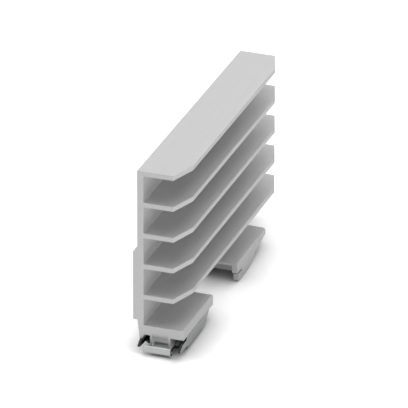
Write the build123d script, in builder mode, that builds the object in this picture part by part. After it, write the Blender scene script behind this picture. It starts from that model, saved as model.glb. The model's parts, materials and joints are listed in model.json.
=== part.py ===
"""Aluminium heat sink with two feet for a top-hat rail, its steel foot latch and the latch's spring.

Millimetres. The origin is the middle of the rail seat: X runs across the rail from the back
of the plate to the fin tips, Y along the heat sink, from the latched foot to the hooked foot,
and +Z away from the rail.
"""
from build123d import *
import os

os.makedirs("parts", exist_ok=True)

# Top-hat rail that the feet take
rail_width = 35.0
rail_lip = 1.0
rail_play = 0.2

# Plate and fins
body_length = 122.0
plate_thickness = 2.6
fin_count = 5
fin_pitch = 13.4
fin_thickness = 2.0
fin_reach = 19.2
fin_corner_depth = 4.2
fin_corner_length = 12.0
root_radius = 0.4
edge_radius = 0.25

# Raised contact pad on the back of the plate
pad_height = 30.0
pad_rise = 1.85
pad_above_seat = 6.1
pad_edge_radius = 0.4

# Feet: one flange over both, at the seat
foot_width = 19.4
flange_thickness = 4.1
foot_inset = 0.7
flange_edge_radius = 0.5
near_foot_length = 34.6
near_foot_overlap = 0.3

# Back lip of the near foot
back_lip_drop = 2.3
back_lip_tip = 0.5
back_lip_root = 2.9

# Latch rib under the near foot
rib_start = 5.3
rib_width = 8.5
rib_drop = 5.1
rib_end_gap = 7.6
rib_web = 0.9
nose_top = 1.5

# Hooked far foot
far_foot_length = 36.3
hook_cover = 5.3
hook_depth = 3.6
far_foot_drop = 4.1
side_wall = 2.3
end_panel_depth = 1.8
end_panel_top = 3.1
tail_start = 22.0
tail_step = 13.2
tail_lift = 2.7
far_corner_radius = 2.2

# Latch, bent from one sheet
sheet = 1.0
bend_radius = 1.0
channel_radius = 1.8
latch_travel = 4.0
latch_back = 1.3
latch_front = 19.3
latch_end_gap = 4.5
latch_floor_drop = 6.4
latch_clearance = 0.3
floor_start = 5.3
floor_end_gap = 10.3

# Fronts of the latch's walls, past the floor
arm_start = 4.4
arm_step = 1.0
arm_drop = 1.3
arm_reach = 3.6
arm_tip_drop = 3.3
arm_tip_depth = 0.6
arm_slope = 2.8

# Grip at the front of the latch, on a tongue of the floor: a screwdriver goes in behind it
grip_start = 3.5
grip_width = 11.5
grip_reach = 3.4
grip_height = 3.0
grip_foot = 2.2
tongue_width = 8.0

# Catch at the rail end of the latch
catch_width = 11.0
catch_start_gap = 3.2
catch_bite = 3.1
catch_top = 2.8

# Guide tabs of the latch and their grooves in the rib
groove_depth = 1.0
groove_top = 3.0
guide_gap = 0.2
tab_length = 4.0
tab_spacing = 10.0
tab_first = 10.5
tab_pairs = 2

# Spring and its trough in the rib
spring_diameter = 3.4
spring_wire = 0.5
spring_coils = 8
spring_start = 8.0
spring_space = 14.5
spring_gap = 0.15
lug_width = 2.6

# How far a cut runs past the face that it opens, and how closely an edge is picked by its place
margin = 1.0
pick = 0.01

# Places that the sizes give
x_back = -foot_width / 2
x_root = x_back + plate_thickness
x_tip = x_back + fin_reach
x_side = x_back + foot_width
y_flange = -rail_width / 2 + near_foot_overlap
y_near = y_flange - near_foot_length
y_far = y_near + body_length
y_hook = rail_width / 2 - hook_cover
y_foot_end = y_hook + far_foot_length
z_top = flange_thickness + fin_count * fin_pitch
x_rib = x_back + rib_start
x_middle = x_rib + rib_width / 2
z_sheet = -latch_floor_drop + sheet
z_trough = z_sheet + spring_diameter + 2 * latch_clearance
trough_length = spring_space + sheet + guide_gap


def across(y):
    """Plane across the heat sink at y: its own x is X, its own y is Z, and it faces the latch."""
    return Plane.XZ.offset(-y)


def along(x):
    """Plane along the heat sink at x: its own x is Y, its own y is Z, and it faces the fin tips."""
    return Plane.YZ.offset(x)


# Aluminium body: the same plate and fins from end to end, with the feet under them
slant = foot_inset / pad_above_seat
with BuildPart() as heat_sink:
    with BuildSketch(across(y_far)) as profile:
        with BuildLine():
            Polyline(
                (x_back + foot_inset, 0),
                (x_root, 0),
                (x_root, z_top),
                (x_back, z_top),
                (x_back, pad_above_seat),
                close=True,
            )
        make_face()
        with Locations((x_back, pad_above_seat)):
            Rectangle(2 * pad_rise, pad_height, align=(Align.CENTER, Align.MIN))
        for fin in range(fin_count):
            with Locations((x_back + plate_thickness / 2, z_top - fin * fin_pitch)):
                Rectangle(fin_reach - plate_thickness / 2, fin_thickness, align=(Align.MIN, Align.MAX))
        roots = profile.vertices().filter_by_position(Axis.X, x_root - pick, x_root + pick)
        fillet(roots.filter_by_position(Axis.Y, margin, z_top - pick), radius=root_radius)
        fillet(profile.vertices().group_by(Axis.X)[-1], radius=edge_radius)
        fillet(profile.vertices().group_by(Axis.X)[0], radius=pad_edge_radius)
    extrude(amount=body_length)

    # Both ends of the fins are cut back at a slant
    with BuildSketch(Plane.XY.offset(flange_thickness + fin_thickness)):
        for end, inward in ((y_near, 1), (y_far, -1)):
            with BuildLine():
                Polyline(
                    (x_tip - fin_corner_depth, end),
                    (x_tip - fin_corner_depth, end - inward * margin),
                    (x_tip + margin, end - inward * margin),
                    (x_tip + margin, end + inward * fin_corner_length * (1 + margin / fin_corner_depth)),
                    close=True,
                )
            make_face()
    extrude(amount=z_top, mode=Mode.SUBTRACT)

    # Flange of the near foot and the lip under its back edge
    with BuildSketch(across(y_flange)):
        with Locations((x_back + plate_thickness / 2, 0)):
            Rectangle(foot_width - plate_thickness / 2, flange_thickness, align=(Align.MIN, Align.MIN))
        with BuildLine():
            Polyline(
                (x_back + foot_inset, 0),
                (x_back + foot_inset + slant * back_lip_drop, -back_lip_drop),
                (x_back + foot_inset + slant * back_lip_drop + back_lip_tip, -back_lip_drop),
                (x_back + back_lip_root, 0),
                close=True,
            )
        make_face()
        with Locations((x_rib, 0)):
            Rectangle(rib_width, rib_drop, align=(Align.MIN, Align.MAX))
    extrude(amount=near_foot_length)
    with BuildSketch(Plane.XY):
        with Locations((x_rib, y_flange - rib_end_gap)):
            Rectangle(rib_width, near_foot_length, align=(Align.MIN, Align.MIN))
    extrude(amount=-rib_drop, mode=Mode.SUBTRACT)

    # Rounded nose of the rib between its two webs, where a screwdriver goes in
    nose_radius = nose_top + rib_drop
    with BuildSketch(along(x_rib + rib_web)):
        with BuildLine():
            nose = CenterArc((y_near + nose_radius, nose_top), nose_radius, 180, 90)
            Polyline(nose @ 1, (y_near - margin, -rib_drop), (y_near - margin, nose_top), nose @ 0)
        make_face()
    extrude(amount=rib_width - 2 * rib_web, mode=Mode.SUBTRACT)

    # Spring trough, open at the bottom, and a groove in each side of the rib for the guide tabs
    with BuildSketch(Plane.XY.offset(z_trough)):
        with Locations((x_middle, y_near + spring_start)):
            Rectangle(
                spring_diameter + 2 * latch_clearance, trough_length, align=(Align.CENTER, Align.MIN)
            )
    extrude(amount=-rib_drop, mode=Mode.SUBTRACT)
    groove_length = latch_travel + (tab_pairs - 1) * tab_spacing + tab_length + 2 * latch_clearance
    with BuildSketch(Plane.XY.offset(-groove_top)):
        for side in (x_rib, x_rib + rib_width):
            with Locations((side, y_near + tab_first - latch_travel - latch_clearance)):
                Rectangle(2 * groove_depth, groove_length, align=(Align.CENTER, Align.MIN))
    extrude(amount=-(sheet + 2 * guide_gap), mode=Mode.SUBTRACT)

    # Far foot: flange over two side walls, each slotted for the rail
    with BuildSketch(across(y_foot_end)):
        with Locations((x_back + plate_thickness / 2, 0)):
            Rectangle(foot_width - plate_thickness / 2, flange_thickness, align=(Align.MIN, Align.MIN))
    extrude(amount=far_foot_length)
    for wall in (x_back + foot_inset, x_side - side_wall):
        with BuildSketch(along(wall)):
            with BuildLine():
                Polyline(
                    (rail_width / 2 + rail_play, flange_thickness / 2),
                    (rail_width / 2 + rail_play, -rail_lip - rail_play),
                    (rail_width / 2 - hook_depth, -rail_lip - rail_play),
                    (rail_width / 2 - hook_depth, -far_foot_drop),
                    (y_foot_end - tail_start, -far_foot_drop),
                    (y_foot_end - tail_step, 0),
                    (y_foot_end - tail_step, flange_thickness / 2),
                    close=True,
                )
            make_face()
        extrude(amount=side_wall)

    # The far foot thins to its end, and its outer corner is rounded
    with BuildSketch(along(x_root)):
        with BuildLine():
            Polyline(
                (y_foot_end - tail_step, 0),
                (y_foot_end, tail_lift),
                (y_foot_end, -margin),
                (y_foot_end - tail_step, -margin),
                close=True,
            )
        make_face()
    extrude(amount=foot_width, mode=Mode.SUBTRACT)
    upright = heat_sink.edges().filter_by(Axis.Z)
    far_corner = upright.filter_by_position(Axis.Y, y_foot_end - pick, y_foot_end + pick)
    fillet(far_corner.group_by(Axis.X)[-1], radius=far_corner_radius)
    lengthwise = heat_sink.edges().filter_by(Axis.Y).filter_by_position(Axis.X, x_side - pick, x_side + pick)
    flange_tops = lengthwise.filter_by_position(Axis.Z, flange_thickness - pick, flange_thickness + pick)
    fillet(flange_tops, radius=flange_edge_radius)

    # Shallow panel in the end of the far foot, under its top edge
    with BuildSketch(across(y_hook + end_panel_depth)):
        with Locations((x_root, -margin)):
            Rectangle(
                foot_width - plate_thickness - side_wall,
                end_panel_top + margin,
                align=(Align.MIN, Align.MIN),
            )
    extrude(amount=end_panel_depth, mode=Mode.SUBTRACT)
heat_sink.part.label = "heat_sink"
heat_sink.part.color = Color(0.72, 0.73, 0.74)
export_step(heat_sink.part, "parts/heat_sink.step")


# Foot latch: side walls and floor from one channel, with a grip bent up at the end of a tongue
x_latch_back = x_back + latch_back
x_latch_front = x_back + latch_front
latch_width = latch_front - latch_back
y_grip = y_near - grip_reach
y_floor = y_near + floor_start
y_arm = y_near - arm_reach
y_latch_end = y_flange - latch_end_gap
z_floor = -latch_floor_drop
z_arm = -latch_clearance - arm_drop
with BuildPart() as foot_latch:
    with BuildSketch(across(y_latch_end)):
        with BuildLine():
            skin = FilletPolyline(
                (x_latch_back, -latch_clearance),
                (x_latch_back, z_floor),
                (x_latch_front, z_floor),
                (x_latch_front, -latch_clearance),
                radius=channel_radius,
            )
            offset(skin, amount=sheet, side=Side.LEFT, closed=True)
        make_face()
    extrude(amount=y_latch_end - y_arm)

    # Side outline of the walls: a step and a slanted arm at the grip, a slanted end at the rail
    with BuildSketch(along(x_latch_back)):
        with BuildLine():
            Polyline(
                (y_near + arm_start, -latch_clearance),
                (y_latch_end, -latch_clearance),
                (y_flange - floor_end_gap, z_floor),
                (y_floor, z_floor),
                (y_floor, z_floor + channel_radius),
                (y_arm, -arm_tip_drop - arm_tip_depth),
                (y_arm, -arm_tip_drop),
                (y_arm + arm_slope, z_arm),
                (y_near + arm_start - arm_step, z_arm),
                close=True,
            )
        make_face()
    extrude(amount=latch_width, mode=Mode.INTERSECT)

    # The back wall passes under the lip of the body
    with BuildSketch(Plane.XY.offset(-back_lip_drop - latch_clearance)):
        with Locations((x_latch_back, y_near - latch_clearance)):
            Rectangle(2 * sheet, near_foot_length, align=(Align.CENTER, Align.MIN))
    extrude(amount=z_top, mode=Mode.SUBTRACT)

    # Tongue of the floor under the rib, and the grip bent up at its end
    with BuildSketch(Plane.XY.offset(z_floor)):
        with Locations((x_middle, y_grip + sheet)):
            Rectangle(tongue_width, y_floor - y_grip, align=(Align.CENTER, Align.MIN))
    extrude(amount=sheet)
    with BuildSketch(along(x_back + grip_start)) as grip:
        with Locations((y_grip, z_floor)):
            Rectangle(grip_foot, grip_height, align=(Align.MIN, Align.MIN))
        fillet(grip.vertices().group_by(Axis.Y)[0].sort_by(Axis.X)[0], radius=bend_radius)
        with Locations((y_grip + sheet, z_sheet)):
            Rectangle(grip_foot, grip_height, align=(Align.MIN, Align.MIN), mode=Mode.SUBTRACT)
    extrude(amount=grip_width)

    # Catch: a tongue of the floor folded up and back under the lip of the rail
    y_bite = -rail_width / 2 + catch_bite
    with BuildSketch(along(x_middle - catch_width / 2)):
        with BuildLine():
            outer = FilletPolyline(
                (y_flange - floor_end_gap - sheet, z_floor),
                (y_flange - catch_start_gap, z_floor),
                (y_bite, -rail_lip - rail_play),
                (y_bite - catch_top, -rail_lip - rail_play),
                radius=bend_radius,
            )
            offset(outer, amount=sheet, side=Side.LEFT, closed=True)
        make_face()
    extrude(amount=catch_width)

    # Guide tabs folded up from the floor into the grooves of the rib, and the spring's lug
    z_tab = -groove_top - guide_gap
    for step in range(tab_pairs):
        with BuildSketch(across(y_near + tab_first + tab_length + step * tab_spacing)):
            for side, outward in ((x_rib, -1), (x_rib + rib_width, 1)):
                with BuildLine():
                    Polyline(
                        (side + outward * guide_gap, z_sheet),
                        (side + outward * guide_gap, z_tab - sheet),
                        (side - outward * (groove_depth - guide_gap), z_tab - sheet),
                        (side - outward * (groove_depth - guide_gap), z_tab),
                        (side + outward * (guide_gap + sheet), z_tab),
                        (side + outward * (guide_gap + sheet), z_sheet),
                        close=True,
                    )
                make_face()
        extrude(amount=tab_length)
    with BuildSketch(across(y_near + spring_start + spring_space + sheet)):
        with Locations((x_middle, z_sheet)):
            Rectangle(lug_width, spring_diameter + latch_clearance, align=(Align.CENTER, Align.MIN))
    extrude(amount=sheet)
foot_latch.part.label = "foot_latch"
foot_latch.part.color = Color(0.55, 0.58, 0.6)
export_step(foot_latch.part, "parts/foot_latch.step")

# Compression spring between the end of the trough and the lug
coil_radius = (spring_diameter - spring_wire) / 2
coil_length = spring_space - 2 * spring_gap - spring_wire
y_coil = y_near + spring_start + spring_gap + spring_wire / 2
z_coil = z_trough - latch_clearance - spring_diameter / 2
with BuildPart() as latch_spring:
    with BuildLine():
        coil = Helix(
            pitch=coil_length / spring_coils,
            height=coil_length,
            radius=coil_radius,
            center=(x_middle, y_coil, z_coil),
            direction=(0, 1, 0),
        )
    with BuildSketch(Plane(origin=coil @ 0, z_dir=coil % 0)):
        Circle(spring_wire / 2)
    sweep(path=coil, is_frenet=True)
latch_spring.part.label = "latch_spring"
latch_spring.part.color = Color(0.6, 0.6, 0.62)
export_step(latch_spring.part, "parts/latch_spring.step")
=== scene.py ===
"""Looks of the rail heat sink: blasted aluminium body, plated steel foot latch and wound spring.

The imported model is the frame: X from the back of the plate to the fin tips, Y along the fins from
the latched foot to the hooked foot, Z away from the rail. Pieces are in metres, and places on them
that a material reads are in millimetres.
"""
import json
import math

import bmesh
import bpy
from bpy.props import FloatProperty, FloatVectorProperty, IntProperty, PointerProperty
from mathutils import Matrix, Vector


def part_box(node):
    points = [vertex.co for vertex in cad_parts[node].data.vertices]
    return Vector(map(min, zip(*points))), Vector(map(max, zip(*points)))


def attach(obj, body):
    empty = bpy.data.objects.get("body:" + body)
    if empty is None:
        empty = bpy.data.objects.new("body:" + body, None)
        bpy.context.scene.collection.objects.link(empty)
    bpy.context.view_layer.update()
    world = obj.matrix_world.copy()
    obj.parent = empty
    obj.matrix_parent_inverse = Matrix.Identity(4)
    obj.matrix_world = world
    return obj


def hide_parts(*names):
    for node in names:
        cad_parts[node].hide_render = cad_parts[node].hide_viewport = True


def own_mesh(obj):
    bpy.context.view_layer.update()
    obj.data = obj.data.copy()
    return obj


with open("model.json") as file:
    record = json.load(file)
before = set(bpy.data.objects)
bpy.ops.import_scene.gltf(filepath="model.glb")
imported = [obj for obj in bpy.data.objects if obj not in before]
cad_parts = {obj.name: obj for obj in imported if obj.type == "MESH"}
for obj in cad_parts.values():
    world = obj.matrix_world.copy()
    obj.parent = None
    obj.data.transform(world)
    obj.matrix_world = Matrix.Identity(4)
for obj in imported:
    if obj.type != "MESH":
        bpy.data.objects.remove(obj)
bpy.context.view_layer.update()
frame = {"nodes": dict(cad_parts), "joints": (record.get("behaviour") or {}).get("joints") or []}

bl_info = {
    "name": "Rail heat sink",
    "version": (1, 0, 0),
    "blender": (4, 5, 0),
    "location": "3D View > Sidebar > Heat sink",
    "description": "Finishes, spring and studio for a finned heat sink with rail feet",
    "category": "Object",
}

MM = 0.001

# Side and place of each soft box in metres, by the name of its power
SOFT_BOXES = {
    "top_light": (1.4, (0.1, 0.05, 1.2)),
    "left_light": (1.2, (-1.5, -0.4, 0.6)),
    "right_light": (1.2, (1.5, -0.2, 0.6)),
    "back_light": (1.2, (0.0, 1.5, 0.9)),
}

# Half the side of the floor in metres. Its slope is looked for up to so many degrees either way, in so
# many steps a degree
FLOOR_HALF = 6.0
SLOPE_REACH = 4
SLOPE_STEPS = 100

# Way to the light from the floor, which the shade round the part follows
FLOOR_LIGHT = (-0.35, -0.15, 0.92)

# The spring's closed turns at each end, how far inside that ground end the middle of its wire starts, in
# widths of the wire, and the rings of points in one turn
END_TURNS = 1
END_SEAT = 0.1
RINGS_PER_TURN = 28

# Width of the camera's sensor in millimetres, and how far it sees in metres
SENSOR_WIDTH = 36.0
SIGHT = 50.0

# Places on the latch in millimetres: its grip along X and the back of the grip; the middle of the channel,
# half its width inside and half the width of the tongue; and a height just over the channel's floor
LATCH_GRIP = (-6.25, 5.35)
LATCH_FRONT = -53.5
LATCH_MIDDLE = 0.6
LATCH_INSIDE = 7.6
TONGUE_SIDE = 5.0
LATCH_FLOOR = -5.0

# Places on the body in millimetres: the panel let into the far foot's end, painted in shade, along Y and up
# Z;
# the rib's milled nose, painted lighter, its middle and half its width, its back and its top; and where the
# outer edges begin, past which outward faces are painted in shade
END_PANEL = (13.5, 14.5)
END_PANEL_HEIGHT = (-0.5, 3.1)
NOSE_MIDDLE = -0.15
NOSE_SIDE = 3.4
NOSE_BACK = -46.0
NOSE_TOP = -0.5
OUTER_SIDE = 8.0


# Shader maths


class Wire:
    """One value in a material's nodes. Arithmetic on it adds Math nodes."""

    def __init__(self, board, socket):
        self.board = board
        self.socket = socket

    def math(self, operation, *values, clamp=False):
        """A Math node on such values."""
        settings = {"operation": operation, "use_clamp": clamp}
        return self.board.node("ShaderNodeMath", settings, dict(enumerate(values)))[0]

    def __add__(self, other):
        return self.math("ADD", self, other)

    def __radd__(self, other):
        return self.math("ADD", other, self)

    def __sub__(self, other):
        return self.math("SUBTRACT", self, other)

    def __rsub__(self, other):
        return self.math("SUBTRACT", other, self)

    def __mul__(self, other):
        return self.math("MULTIPLY", self, other)

    def __rmul__(self, other):
        return self.math("MULTIPLY", other, self)

    def __abs__(self):
        return self.math("ABSOLUTE", self)

    def clamped(self):
        """The value kept from 0 to 1."""
        return self.math("ADD", self, 0.0, clamp=True)

    def step(self, low, high):
        """0 below low, 1 above high, smooth between them."""
        settings = {"interpolation_type": "SMOOTHSTEP", "clamp": True}
        return self.board.node("ShaderNodeMapRange", settings, {0: self, 1: low, 2: high})[0]

    def above(self, low, blur=0.01):
        """1 over a limit, 0 under it."""
        return self.step(low, low + blur)

    def below(self, high, blur=0.01):
        """1 under a limit, 0 over it."""
        return 1.0 - self.step(high - blur, high)

    def between(self, limits, blur=0.01):
        """1 between two limits, 0 past them."""
        low, high = limits
        return self.above(low, blur) * self.below(high, blur)


class Board:
    """A material and the nodes that are put on it."""

    def __init__(self, name):
        self.material = bpy.data.materials.new(name)
        self.material.use_nodes = True
        self.tree = self.material.node_tree
        self.shader = next(n for n in self.tree.nodes if n.type == "BSDF_PRINCIPLED")

    def node(self, kind, settings=None, inputs=None):
        """Adds a node, its settings first and then the values or links of its sockets. Gives its outputs."""
        node = self.tree.nodes.new(kind)
        for name, value in (settings or {}).items():
            setattr(node, name, value)
        for name, value in (inputs or {}).items():
            self.feed(node.inputs[name], value)
        return [Wire(self, output) for output in node.outputs]

    def feed(self, socket, value):
        """Links a wire to a socket, or sets its constant."""
        if isinstance(value, Wire):
            self.tree.links.new(value.socket, socket)
        else:
            socket.default_value = value

    def finish(self, **inputs):
        """Sets or links sockets of the material's shader, by their names with _ for spaces."""
        for name, value in inputs.items():
            self.feed(self.shader.inputs[name.replace("_", " ")], value)
        return self.material

    def place(self):
        """The point on the object, in millimetres."""
        inside = self.node("ShaderNodeTexCoord")[3]
        return self.vector("MULTIPLY", inside, (1000.0, 1000.0, 1000.0))

    def vector(self, operation, *values):
        """A Vector Math node that gives a vector or a colour."""
        return self.node("ShaderNodeVectorMath", {"operation": operation}, dict(enumerate(values)))[0]

    def dot(self, one, other):
        """How far two unit vectors agree, 1 where they are the same."""
        return self.node("ShaderNodeVectorMath", {"operation": "DOT_PRODUCT"}, {0: one, 1: other})[1]

    def facing(self):
        """The way the surface faces, before any bump."""
        return self.node("ShaderNodeNewGeometry")[1]

    def split(self, vector):
        """The three parts of a vector."""
        return self.node("ShaderNodeSeparateXYZ", None, {0: vector})

    def noise(self, place, scale, detail=2.0, roughness=0.5, stretch=(1.0, 1.0, 1.0)):
        """Noise from 0 to 1 with so many cells a millimetre, along each axis times its stretch."""
        stretched = self.vector("MULTIPLY", place, stretch)
        inputs = {"Vector": stretched, "Scale": scale, "Detail": detail, "Roughness": roughness}
        return self.node("ShaderNodeTexNoise", {"noise_dimensions": "3D"}, inputs)[0]

    def blend(self, factor, one, other):
        """A colour between one and other."""
        inputs = {0: factor, 6: one, 7: other}
        return self.node("ShaderNodeMix", {"data_type": "RGBA"}, inputs)[2]

    def tint(self, colour, share):
        """A colour made lighter or darker by a share that changes over the surface."""
        grey = self.node("ShaderNodeCombineXYZ", None, {0: share, 1: share, 2: share})[0]
        return self.vector("MULTIPLY", colour[:3], grey)

    def worn_edges(self, radius):
        """How close to an edge the surface is, and the normal rounded there."""
        rounded = self.node("ShaderNodeBevel", {"samples": 6}, {"Radius": radius})[0]
        return (1.0 - self.dot(self.facing(), rounded)).step(0.02, 0.25), rounded

    def bump(self, height, distance, strength, normal=None):
        """The normal of a surface with small heights on it, where a height of 1 stands up by the distance."""
        inputs = {"Height": height, "Distance": distance, "Strength": strength}
        if normal is not None:
            inputs["Normal"] = normal
        return self.node("ShaderNodeBump", None, inputs)[0]


# Sizes and colours that a user would change


class AluminiumFinish(bpy.types.PropertyGroup):
    """Blasted aluminium of the body."""

    colour: FloatVectorProperty(
        name="Colour", description="Colour of the clean metal", subtype="COLOR", size=4,
        default=(0.568, 0.567, 0.567, 1.0), min=0.0, max=1.0,
    )
    roughness: FloatProperty(
        name="Roughness", description="Roughness of the blasted faces", subtype="FACTOR",
        default=0.62, min=0.0, max=1.0,
    )
    grain: FloatProperty(
        name="Grain", description="Depth of the blasted grain", default=0.02 * MM, unit="LENGTH", precision=6
    )
    edge: FloatProperty(
        name="Edge break", description="Width of the broken edges", default=0.18 * MM,
        unit="LENGTH", precision=6,
    )


class PlatingFinish(bpy.types.PropertyGroup):
    """Bright zinc plating of the latch."""

    colour: FloatVectorProperty(
        name="Colour", description="Colour of the plating", subtype="COLOR", size=4,
        default=(0.385, 0.397, 0.394, 1.0), min=0.0, max=1.0,
    )
    roughness: FloatProperty(
        name="Roughness", description="Roughness of the plated faces", subtype="FACTOR",
        default=0.14, min=0.0, max=1.0,
    )
    edge: FloatProperty(
        name="Edge break", description="Width of the rounded sheet edges", default=0.15 * MM,
        unit="LENGTH", precision=6,
    )
    # The sheet's bare cut edges take this colour, made near black as painted shade; the painted shade inside
    # the channel takes it too
    sheared_and_shade: FloatVectorProperty(
        name="Sheared edges", description="Colour of the sheet's bare cut edges", subtype="COLOR", size=4,
        default=(0.05, 0.05, 0.052, 1.0), min=0.0, max=1.0,
    )


class SpringSizes(bpy.types.PropertyGroup):
    """Wire spring behind the latch."""

    wire: FloatProperty(
        name="Wire", description="Diameter of the wire", default=0.5 * MM, unit="LENGTH", precision=5
    )
    turns: FloatProperty(name="Turns", description="Turns from end to end", default=9.0, min=3.0)
    sides: IntProperty(name="Sides", description="Sides of the wire", default=12, min=6)
    colour: FloatVectorProperty(
        name="Colour", description="Colour of the drawn wire", subtype="COLOR", size=4,
        default=(0.46, 0.45, 0.43, 1.0), min=0.0, max=1.0,
    )


class StudioSetup(bpy.types.PropertyGroup):
    """Floor, lights and camera."""

    floor_colour: FloatVectorProperty(
        name="Floor", description="Colour of the pale floor", subtype="COLOR", size=4,
        default=(0.96, 0.96, 0.96, 1.0), min=0.0, max=1.0,
    )
    glow: FloatProperty(
        name="Glow", description="Light that the floor gives by itself, as a light table does", default=0.22
    )
    contact: FloatProperty(
        name="Contact", description="Reach of the shade round what stands on the floor", default=12.5 * MM,
        unit="LENGTH",
    )
    sky: FloatProperty(name="Sky", description="Strength of the light from all round", default=0.45)
    top_light: FloatProperty(
        name="Top light", description="Power of the soft box above", default=10.0, unit="POWER"
    )
    left_light: FloatProperty(
        name="Left light", description="Power of the soft box at the left", default=12.9, unit="POWER"
    )
    right_light: FloatProperty(
        name="Right light", description="Power of the soft box at the right", default=6.8, unit="POWER"
    )
    back_light: FloatProperty(
        name="Back light", description="Power of the soft box behind", default=5.0, unit="POWER"
    )
    focal_length: FloatProperty(
        name="Focal length", description="Camera lens, in millimetres", default=540.18, unit="CAMERA"
    )
    camera_place: FloatVectorProperty(
        name="Camera", description="Where the camera stands", subtype="XYZ", unit="LENGTH",
        default=(0.73997, -2.0793, 1.09074),
    )
    camera_turn: FloatVectorProperty(
        name="Camera turn", description="Azimuth, elevation and roll of the camera", subtype="EULER",
        unit="ROTATION", default=(math.radians(19.597), math.radians(25.5643), math.radians(0.098)),
    )


# Pieces


def dress(node, material):
    """Puts a material on every slot of a CAD node."""
    piece = frame["nodes"][node]
    for material_slot in piece.material_slots:
        material_slot.material = material


def body_faces(board, place):
    """Masks of the body: its saw cuts, which take painted shade; painted shade on its outward tip faces and
    in the recess let into the far foot's end; painted light on the rib's milled, rounded front.
    """
    x, y, z = board.split(place)
    across, along, _ = board.split(board.facing())
    # Faces cut across: their sawn lines are real, and their darker colour is painted shade
    cut = abs(along).step(0.15, 0.3)
    # Outward faces of the fin tips and foot sides, painted darker as shade on that side
    painted_tip_shade = across.step(0.6, 0.8) * x.above(OUTER_SIDE) * (1.0 - cut)
    # Panel let into the far foot's end, painted darker as the shade in its recess
    painted_panel_shade = along.below(-0.8, 0.1) * y.between(END_PANEL) * z.between(END_PANEL_HEIGHT, 0.1)
    # Milled nose between the rib's webs, painted lighter where it lies in shade
    painted_nose_light = y.below(NOSE_BACK, 1.0) * z.below(NOSE_TOP, 3.0) * abs(x - NOSE_MIDDLE).below(NOSE_SIDE)
    return cut, painted_tip_shade, painted_panel_shade, painted_nose_light


def blasted_aluminium(finish):
    """Extruded and blasted aluminium, with saw marks on the faces that were cut across."""
    board = Board("blasted_aluminium")
    place = board.place()
    cut, painted_tip_shade, painted_panel_shade, painted_nose_light = body_faces(board, place)

    clouds = board.noise(place, 0.09, detail=3.0) - 0.5
    mottle = board.noise(place, 0.9) - 0.5
    grain = board.noise(place, 6.0, detail=3.0, roughness=0.65) - 0.5
    drawn = board.noise(place, 2.6, stretch=(1.0, 0.012, 1.0)) - 0.5
    sawn = board.noise(place, 3.4, stretch=(0.06, 1.0, 1.0)) - 0.5
    lines = drawn * (1.0 - cut) + sawn * cut
    edge, rounded = board.worn_edges(finish.edge)

    share = 1.0 + clouds * 0.05 + mottle * 0.05 + grain * 0.16 + lines * 0.09 + edge * 0.10
    # Painted shade darkens the cut faces, the outward tip faces and the end panel; painted light lightens the
    # nose
    share = share - cut * 0.16 - painted_tip_shade * 0.21 - painted_panel_shade * 0.35 + painted_nose_light * 0.6
    roughness = finish.roughness + grain * 0.10 + clouds * 0.06 - edge * 0.12 - cut * 0.05
    return board.finish(
        Base_Color=board.tint(finish.colour, share),
        Metallic=0.85,
        Roughness=roughness.clamped(),
        Normal=board.bump(grain + lines * 0.5, finish.grain, 0.6, rounded),
    )


def latch_faces(board, place):
    """Masks of the folded sheet: its bare cut edges, painted near black as shade; painted shade on its inside
    and its outer walls; painted light on its tops.
    """
    x, y, z = board.split(place)
    across, along, up = board.split(board.facing())
    from_middle = x - LATCH_MIDDLE
    on_grip = x.between(LATCH_GRIP) * y.below(LATCH_FRONT)
    forward = along.below(-0.35, 0.1) * (1.0 - on_grip)
    sideways = abs(across).step(0.6, 0.7) * abs(from_middle).below(LATCH_INSIDE)
    # Front faces and inner side faces of the sheet: bare cut edges, painted near black as shade
    sheared_and_shade = (forward + sideways).clamped()

    # Outward is minus or plus the distance from the middle, on the inner or the outer face of a wall
    outward = across * from_middle
    top = up.step(0.6, 0.8)
    flat = top * z.below(LATCH_FLOOR)
    under_rib = abs(from_middle).below(TONGUE_SIDE)
    # Inner faces of the walls and the channel's floor beside the tongue, painted near black as the shade
    # inside the channel
    painted_inside_shade = (outward.below(-4.0, 1.0) + flat * (1.0 - under_rib)).clamped()
    # Tops of the tongue under the rib and of the grip, painted lighter as light where they lie in shade, and
    # made rougher and less metallic
    painted_top_light = (flat * under_rib + on_grip * top).clamped()
    # Third come the outer faces of the walls, painted darker as shade for the shaded floor they reflect
    return sheared_and_shade, painted_inside_shade, outward.step(7.7, 8.5), painted_top_light


def zinc_plating(finish):
    """Bright plated sheet with faint rolling lines; its bare cut edges and its inside are painted near black
    as shade.
    """
    board = Board("zinc_plating")
    place = board.place()
    sheared_and_shade, painted_inside_shade, painted_outside_shade, painted_top_light = latch_faces(board, place)
    clouds = board.noise(place, 0.35, detail=3.0) - 0.5
    rolled = board.noise(place, 3.0, stretch=(1.0, 0.03, 1.0)) - 0.5
    speckle = board.noise(place, 9.0) - 0.5
    edge, rounded = board.worn_edges(finish.edge)

    # Painted shade darkens the outer walls; painted light lightens the tops under the rib and on the grip
    share = 1.0 + clouds * 0.10 + rolled * 0.05 - edge * 0.06 - painted_outside_shade * 0.27 + painted_top_light
    texture = clouds * 0.08 + rolled * 0.05 + speckle * 0.05
    roughness = finish.roughness + texture + edge * 0.12 + sheared_and_shade * 0.3 + painted_outside_shade * 0.15 + painted_top_light * 0.5
    plated = board.tint(finish.colour, share)
    # Dark colour of the bare cut edges, made near black as painted shade, and of the painted shade inside the
    # channel
    bare = board.tint(finish.sheared_and_shade, 1.0 + speckle * 0.8)
    return board.finish(
        Base_Color=board.blend((sheared_and_shade + painted_inside_shade).clamped(), plated, bare),
        Metallic=1.0 - painted_top_light * 0.6,
        Roughness=roughness.clamped(),
        Normal=board.bump(rolled + speckle * 0.4, 0.003 * MM, 0.5, rounded),
    )


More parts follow.
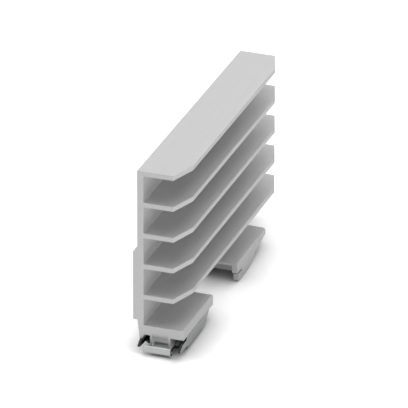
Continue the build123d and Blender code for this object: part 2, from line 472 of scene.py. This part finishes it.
def drawn_wire(sizes):
    """Spring wire with a cloudy, speckled tone and a thin film of oil."""
    board = Board("drawn_wire")
    place = board.place()
    clouds = board.noise(place, 0.8, detail=3.0) - 0.5
    speckle = board.noise(place, 14.0) - 0.5
    share = 1.0 + clouds * 0.18 + speckle * 0.12
    return board.finish(
        Base_Color=board.tint(sizes.colour, share),
        Metallic=1.0,
        Roughness=(0.30 + clouds * 0.12 + speckle * 0.10).clamped(),
        Normal=board.bump(speckle, 0.004 * MM, 0.5),
    )


def wound_spring(sizes, low, high):
    """Mesh of a compression spring along Y between two corners, with closed and ground ends."""
    radius = (high.x - low.x) / 2 - sizes.wire / 2
    middle = (low + high) / 2
    length = high.y - low.y
    pitch = (length - 2 * (END_TURNS + END_SEAT) * sizes.wire) / (sizes.turns - 2 * END_TURNS)
    steps = int(round(sizes.turns * RINGS_PER_TURN))
    mesh = bmesh.new()
    rings = []
    for step in range(steps + 1):
        turn = sizes.turns * step / steps
        closed_start = min(turn, END_TURNS)
        closed_end = max(turn - sizes.turns + END_TURNS, 0)
        wound = turn - closed_start - closed_end
        along = sizes.wire * (END_SEAT + closed_start + closed_end) + wound * pitch
        angle = turn * 2 * math.pi
        outward = Vector((math.cos(angle), 0, math.sin(angle)))
        centre = Vector((middle.x, low.y + along, middle.z)) + outward * radius
        ring = []
        for side in range(sizes.sides):
            around = side * 2 * math.pi / sizes.sides
            point = centre + outward * (math.cos(around) * sizes.wire / 2)
            point.y += math.sin(around) * sizes.wire / 2
            point.y = min(max(point.y, low.y), high.y)
            ring.append(mesh.verts.new(point))
        rings.append(ring)
    for ring, following in zip(rings, rings[1:]):
        for side in range(sizes.sides):
            ahead = (side + 1) % sizes.sides
            mesh.faces.new((ring[side], ring[ahead], following[ahead], following[side]))
    mesh.faces.new(reversed(rings[0]))
    mesh.faces.new(rings[-1])
    bmesh.ops.recalc_face_normals(mesh, faces=mesh.faces)
    for face in mesh.faces:
        face.smooth = len(face.verts) == 4
    return mesh


def resting_plane():
    """Slope along Y and height at Y 0 of the plane that touches both feet from below."""
    feet = (frame["nodes"]["heat_sink"], frame["nodes"]["foot_latch"])
    points = [vertex.co for foot in feet for vertex in foot.data.vertices]
    back = [point for point in points if point.y > 0]
    front = [point for point in points if point.y < 0]
    best = None
    for step in range(-SLOPE_REACH * SLOPE_STEPS, SLOPE_REACH * SLOPE_STEPS):
        slope = math.tan(math.radians(step / SLOPE_STEPS))
        gap_back = min(point.z - slope * point.y for point in back)
        gap_front = min(point.z - slope * point.y for point in front)
        if best is None or abs(gap_back - gap_front) < best[0]:
            best = (abs(gap_back - gap_front), slope, min(gap_back, gap_front))
    return best[1:]


def pale_floor(setup):
    """Light table that glows a little, with painted shade in its colour and glow close to what stands on it,
    mostly taken out again before the grip.
    """
    board = Board("pale_floor")
    place = board.place()
    x, y, _ = board.split(place)
    speckle = board.noise(place, 0.4) - 0.5
    inputs = {"Distance": setup.contact, "Normal": FLOOR_LIGHT}
    # How open each point is; it paints contact shade into the floor's colour and glow
    open_air = board.node("ShaderNodeAmbientOcclusion", {"samples": 16}, inputs)[1]
    # Before the grip most of that painted shade is taken out again
    before_grip = x.below(LATCH_GRIP[1] + 3.0, 7.0) * y.below(LATCH_FRONT + 1.0, 1.5)
    open_air = open_air + (1.0 - open_air) * before_grip * 0.9
    return board.finish(
        Base_Color=board.tint(setup.floor_colour, 0.35 + open_air * 0.65 + speckle * 0.004),
        Emission_Color=board.tint((1.0, 1.0, 1.0), open_air * open_air),
        Emission_Strength=setup.glow,
        Roughness=0.9,
        Specular_IOR_Level=0.1,
    )


class HEATSINK_OT_body(bpy.types.Operator):
    """Finish the aluminium body"""

    bl_idname = "heatsink.body"
    bl_label = "Aluminium body"

    def execute(self, context):
        dress("heat_sink", blasted_aluminium(context.scene.heatsink_aluminium))
        return {"FINISHED"}


class HEATSINK_OT_latch(bpy.types.Operator):
    """Finish the plated steel latch"""

    bl_idname = "heatsink.latch"
    bl_label = "Foot latch"

    def execute(self, context):
        dress("foot_latch", zinc_plating(context.scene.heatsink_plating))
        return {"FINISHED"}


class HEATSINK_OT_spring(bpy.types.Operator):
    """Wind the latch's spring"""

    bl_idname = "heatsink.spring"
    bl_label = "Latch spring"

    def execute(self, context):
        sizes = context.scene.heatsink_spring
        low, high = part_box("latch_spring")
        wound = wound_spring(sizes, low, high)
        mesh = bpy.data.meshes.new("wound_spring")
        wound.to_mesh(mesh)
        wound.free()
        spring = bpy.data.objects.new("wound_spring", mesh)
        context.scene.collection.objects.link(spring)
        spring.data.materials.append(drawn_wire(sizes))
        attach(spring, "body")
        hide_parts("latch_spring")
        travel = next(j["range_m"][1] for j in frame["joints"] if j["name"] == "latch_slide")
        length = high.y - low.y
        (length - travel) / length
        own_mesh(spring)
        return {"FINISHED"}


class HEATSINK_OT_stage(bpy.types.Operator):
    """Set up the floor, the lights and the camera"""

    bl_idname = "heatsink.stage"
    bl_label = "Studio"

    def execute(self, context):
        setup = context.scene.heatsink_studio
        self.floor(context, setup)
        self.lights(context, setup)
        self.camera(context, setup)
        context.scene.view_settings.view_transform = "Standard"
        return {"FINISHED"}

    def floor(self, context, setup):
        """A pale sheet under the two feet, tilted as the part rests on it."""
        slope, height = resting_plane()
        mesh = bpy.data.meshes.new("floor")
        low, high = -FLOOR_HALF, FLOOR_HALF
        outline = ((low, low), (high, low), (high, high), (low, high))
        mesh.from_pydata([(x, y, height + slope * y) for x, y in outline], [], [(0, 1, 2, 3)])
        floor = bpy.data.objects.new("floor", mesh)
        floor.data.materials.append(pale_floor(setup))
        context.scene.collection.objects.link(floor)

    def lights(self, context, setup):
        """Even light from all round and soft boxes that face the part."""
        world = bpy.data.worlds.new("studio")
        context.scene.world = world
        world.use_nodes = True
        sky = world.node_tree.nodes["Background"]
        sky.inputs["Color"].default_value = (1.0, 1.0, 1.0, 1.0)
        sky.inputs["Strength"].default_value = setup.sky
        for name, (size, place) in SOFT_BOXES.items():
            light = bpy.data.lights.new(name, "AREA")
            light.shape = "SQUARE"
            light.size = size
            light.energy = getattr(setup, name)
            box = bpy.data.objects.new(name, light)
            box.location = place
            box.rotation_euler = Vector(place).to_track_quat("Z", "Y").to_euler()
            box.visible_camera = False
            context.scene.collection.objects.link(box)

    def camera(self, context, setup):
        """The camera, at the photograph's viewing angle."""
        azimuth, elevation, roll = setup.camera_turn
        ahead = Vector((
            -math.sin(azimuth) * math.cos(elevation),
            math.cos(azimuth) * math.cos(elevation),
            -math.sin(elevation),
        ))
        level = Vector((math.cos(azimuth), math.sin(azimuth), 0.0))
        upright = level.cross(ahead)
        right = math.cos(roll) * level + math.sin(roll) * upright
        up = -math.sin(roll) * level + math.cos(roll) * upright
        lens = bpy.data.cameras.new("camera")
        lens.lens = setup.focal_length
        lens.sensor_width = SENSOR_WIDTH
        lens.clip_end = SIGHT
        camera = bpy.data.objects.new("camera", lens)
        turn = Matrix((right, up, -ahead)).transposed().to_4x4()
        camera.matrix_world = Matrix.Translation(Vector(setup.camera_place)) @ turn
        context.scene.collection.objects.link(camera)
        context.scene.camera = camera


class HEATSINK_PT_sidebar(bpy.types.Panel):
    """Lists the pieces and the studio"""

    bl_idname = "HEATSINK_PT_sidebar"
    bl_label = "Heat sink"
    bl_space_type = "VIEW_3D"
    bl_region_type = "UI"
    bl_category = "Heat sink"

    def draw(self, context):
        for operator in OPERATORS:
            self.layout.operator(operator.bl_idname)
        for name in GROUPS:
            group = getattr(context.scene, name)
            box = self.layout.box()
            for value in group.__annotations__:
                box.prop(group, value)


GROUPS = {
    "heatsink_aluminium": AluminiumFinish,
    "heatsink_plating": PlatingFinish,
    "heatsink_spring": SpringSizes,
    "heatsink_studio": StudioSetup,
}
OPERATORS = (HEATSINK_OT_stage, HEATSINK_OT_body, HEATSINK_OT_latch, HEATSINK_OT_spring)


def register():
    for kind in (*GROUPS.values(), *OPERATORS, HEATSINK_PT_sidebar):
        bpy.utils.register_class(kind)
    for name, kind in GROUPS.items():
        setattr(bpy.types.Scene, name, PointerProperty(type=kind))


def unregister():
    for name in GROUPS:
        delattr(bpy.types.Scene, name)
    for kind in (HEATSINK_PT_sidebar, *reversed(OPERATORS), *reversed(GROUPS.values())):
        bpy.utils.unregister_class(kind)


def main():
    register()
    bpy.ops.heatsink.stage()
    bpy.ops.heatsink.body()
    bpy.ops.heatsink.latch()
    bpy.ops.heatsink.spring()


if __name__ == "__main__":
    main()
